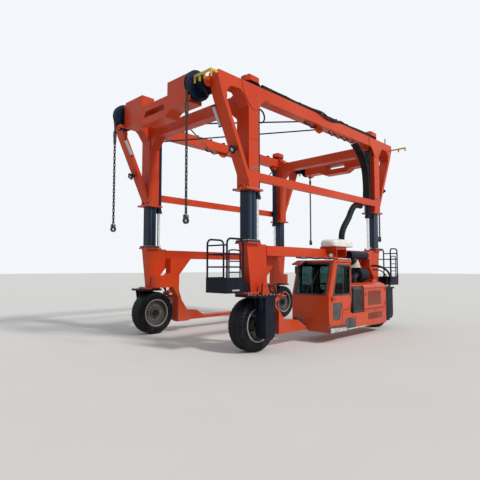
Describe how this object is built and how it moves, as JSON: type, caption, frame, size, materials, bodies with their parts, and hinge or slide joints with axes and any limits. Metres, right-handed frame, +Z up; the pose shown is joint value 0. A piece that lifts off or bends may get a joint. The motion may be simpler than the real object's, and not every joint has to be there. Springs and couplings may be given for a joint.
{
  "type": "straddle carrier",
  "caption": "Straddle carrier with telescopic legs, a side cab, steered front wheels and corner lifting chains that carry a container between the legs.",
  "frame": {"origin": "on the ground below the middle of the whole machine's box", "axes": "+X forward, longest extent; +Y to the machine's left, the cab's side, shortest extent; +Z up"},
  "size_m": [8.8096, 5.155, 6.2048],
  "materials": {
    "orange_paint": "semi-gloss orange paint",
    "navy_paint": "semi-gloss navy blue paint",
    "black_paint": "satin black paint",
    "chrome_rod": "polished hard chrome",
    "grey_plastic": "dark grey moulded plastic",
    "cast_iron": "painted cast iron",
    "seat_fabric": "black woven seat cover",
    "white_plastic": "white moulded cover",
    "cab_glass": "lightly tinted safety glass",
    "chain_steel": "dull dark chain steel",
    "yellow_paint": "yellow paint",
    "tyre": "black industrial tyre",
    "rim_paint": "dark grey painted rim"
  },
  "bodies": {
    "chassis": {"lower_posts": "orange_paint", "mast_columns": "navy_paint", "lift_rods": "chrome_rod", "lower_side_beams": "orange_paint", "side_rails": "orange_paint", "rear_forks": "black_paint", "cab_floor": "grey_plastic", "cab_walls": "orange_paint", "cab_front": "orange_paint", "cab_roof": "orange_paint", "cab_windows": "cab_glass", "cab_seat": "seat_fabric", "cab_console": "grey_plastic", "cooling_unit": "white_plastic", "unit_bracket": "orange_paint", "engine_house": "orange_paint", "engine_block": "cast_iron", "side_skirt": "orange_paint", "battery_box": "grey_plastic", "exhaust_silencer": "black_paint", "air_cleaner": "black_paint", "rear_cooler": "black_paint", "platform_decks": "black_paint", "platform_rails": "black_paint"},
    "lifting_frame": {"mast_sleeves": "orange_paint", "struts": "orange_paint", "end_beams": "orange_paint", "top_side_beams": "orange_paint", "tie_beams": "orange_paint", "portal_crossbeams": "orange_paint", "lift_crossbeams": "orange_paint", "mast_caps": "orange_paint", "lift_cylinders": "navy_paint", "chain_drives": "black_paint", "lifting_chains": "chain_steel", "sling_lugs": "black_paint", "chain_racks": "yellow_paint", "work_lamps": "black_paint", "brace_rods": "navy_paint"},
    "front_left_steer": {"front_left_yoke": "black_paint"},
    "front_right_steer": {"front_right_yoke": "black_paint"},
    "front_left_wheel": {"front_left_tyre": "tyre", "front_left_rim": "rim_paint"},
    "front_right_wheel": {"front_right_tyre": "tyre", "front_right_rim": "rim_paint"},
    "rear_left_wheel": {"rear_left_tyre": "tyre", "rear_left_rim": "rim_paint"},
    "rear_right_wheel": {"rear_right_tyre": "tyre", "rear_right_rim": "rim_paint"},
    "cab_door": {"door_panel": "orange_paint", "door_glass": "cab_glass"},
    "engine_door": {"engine_door": "orange_paint"},
    "front_left_chain_drum": {"front_left_chain_wheel": "navy_paint"},
    "front_right_chain_drum": {"front_right_chain_wheel": "navy_paint"},
    "rear_left_chain_drum": {"rear_left_chain_wheel": "navy_paint"},
    "rear_right_chain_drum": {"rear_right_chain_wheel": "navy_paint"}
  },
  "joints": [
    {"name": "frame_lift", "type": "slide", "parent": "chassis", "child": "lifting_frame", "axis": [0, 0, 1], "range_m": [-0.9, 0.45]},
    {"name": "front_left_steering", "type": "hinge", "parent": "chassis", "child": "front_left_steer", "pos_m": [2.86, 1.7725, 1.2], "axis": [0, 0, 1], "range_deg": [-45, 45]},
    {"name": "front_right_steering", "type": "hinge", "parent": "chassis", "child": "front_right_steer", "pos_m": [2.86, -2.0275, 1.2], "axis": [0, 0, 1], "range_deg": [-45, 45]},
    {"name": "front_left_wheel_roll", "type": "hinge", "parent": "front_left_steer", "child": "front_left_wheel", "pos_m": [2.8, 1.7725, 0.585], "axis": [0, 1, 0], "continuous": true},
    {"name": "front_right_wheel_roll", "type": "hinge", "parent": "front_right_steer", "child": "front_right_wheel", "pos_m": [2.8, -2.0275, 0.585], "axis": [0, 1, 0], "continuous": true},
    {"name": "rear_left_wheel_roll", "type": "hinge", "parent": "chassis", "child": "rear_left_wheel", "pos_m": [-2.93, 1.7725, 0.585], "axis": [0, 1, 0], "continuous": true},
    {"name": "rear_right_wheel_roll", "type": "hinge", "parent": "chassis", "child": "rear_right_wheel", "pos_m": [-2.93, -2.0275, 0.585], "axis": [0, 1, 0], "continuous": true},
    {"name": "cab_door_hinge", "type": "hinge", "parent": "chassis", "child": "cab_door", "pos_m": [-0.168, 2.5505, 1.2], "axis": [0, 0, 1], "range_deg": [0, 95]},
    {"name": "engine_door_hinge", "type": "hinge", "parent": "chassis", "child": "engine_door", "pos_m": [-2.113, 2.5505, 1], "axis": [0, 0, 1], "range_deg": [0, 100]},
    {"name": "front_left_chain_drum_turn", "type": "hinge", "parent": "lifting_frame", "child": "front_left_chain_drum", "pos_m": [4.05, 1.3225, 5.75], "axis": [0, 1, 0], "continuous": true},
    {"name": "front_right_chain_drum_turn", "type": "hinge", "parent": "lifting_frame", "child": "front_right_chain_drum", "pos_m": [4.05, -1.5775, 5.75], "axis": [0, 1, 0], "continuous": true},
    {"name": "rear_left_chain_drum_turn", "type": "hinge", "parent": "lifting_frame", "child": "rear_left_chain_drum", "pos_m": [-4.05, 1.3225, 5.75], "axis": [0, 1, 0], "continuous": true},
    {"name": "rear_right_chain_drum_turn", "type": "hinge", "parent": "lifting_frame", "child": "rear_right_chain_drum", "pos_m": [-4.05, -1.5775, 5.75], "axis": [0, 1, 0], "continuous": true}
  ]
}
